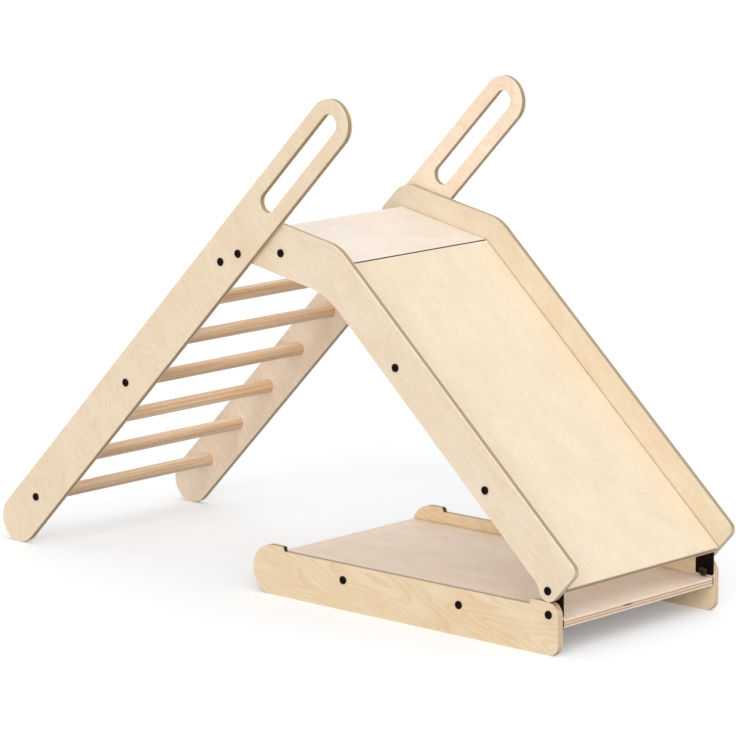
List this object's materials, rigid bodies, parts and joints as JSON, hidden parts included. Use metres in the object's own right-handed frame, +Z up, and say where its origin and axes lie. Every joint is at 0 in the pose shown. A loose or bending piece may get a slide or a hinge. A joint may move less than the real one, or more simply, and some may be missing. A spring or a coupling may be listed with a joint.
{
  "type": "climbing ramp",
  "caption": "Folding plywood climbing ramp for toddlers: a rung ladder with hand slots, a small platform and a railed slide on a hinged base.",
  "frame": {"origin": "on the floor, under the middle of the ramp's length and width", "axes": "+X from the ladder's foot towards the slide's foot, +Y across the width away from the near side, +Z up"},
  "size_m": [1.5116, 0.5216, 0.985],
  "materials": {
    "birch_face": "clear-lacquered birch plywood, satin",
    "birch_deck": "clear-lacquered birch plywood, satin",
    "rung_wood": "lacquered round hardwood dowel, satin",
    "black_steel": "black oxide, satin"
  },
  "bodies": {
    "slide_frame": {"near_slide_panel": "birch_face", "far_slide_panel": "birch_face", "platform_board": "birch_face", "slide_board": "birch_face", "near_platform_screw": "black_steel", "far_platform_screw": "black_steel", "near_upper_slide_screw": "black_steel", "far_upper_slide_screw": "black_steel", "near_lower_slide_screw": "black_steel", "far_lower_slide_screw": "black_steel", "near_foot_bolt": "black_steel", "far_foot_bolt": "black_steel", "near_foot_nut": "black_steel", "far_foot_nut": "black_steel"},
    "base": {"near_base_rail": "birch_face", "far_base_rail": "birch_face", "deck_board": "birch_deck", "near_back_deck_screw": "black_steel", "far_back_deck_screw": "black_steel", "near_front_deck_screw": "black_steel", "far_front_deck_screw": "black_steel", "near_hinge_plate": "black_steel", "far_hinge_plate": "black_steel", "near_hinge_bolt": "black_steel", "far_hinge_bolt": "black_steel", "near_hinge_nut": "black_steel", "far_hinge_nut": "black_steel"},
    "ladder": {"near_ladder_rail": "birch_face", "far_ladder_rail": "birch_face", "rung_1": "rung_wood", "rung_2": "rung_wood", "rung_3": "rung_wood", "rung_4": "rung_wood", "rung_5": "rung_wood", "rung_6": "rung_wood", "rung_7": "rung_wood", "near_rung_1_screw": "black_steel", "far_rung_1_screw": "black_steel", "near_rung_4_screw": "black_steel", "far_rung_4_screw": "black_steel", "near_rung_7_screw": "black_steel", "far_rung_7_screw": "black_steel", "near_pivot_bolt": "black_steel", "far_pivot_bolt": "black_steel", "near_pivot_washer": "black_steel", "far_pivot_washer": "black_steel", "near_pivot_nut": "black_steel", "far_pivot_nut": "black_steel"}
  },
  "joints": [
    {"name": "ladder_fold", "type": "hinge", "parent": "slide_frame", "child": "ladder", "pos_m": [-0.07204, 0, 0.66674], "axis": [0, -1, 0], "range_deg": [0, 48]},
    {"name": "base_fold", "type": "hinge", "parent": "slide_frame", "child": "base", "pos_m": [0.69535, 0, 0.1217], "axis": [0, 1, 0], "range_deg": [0, 42]}
  ]
}
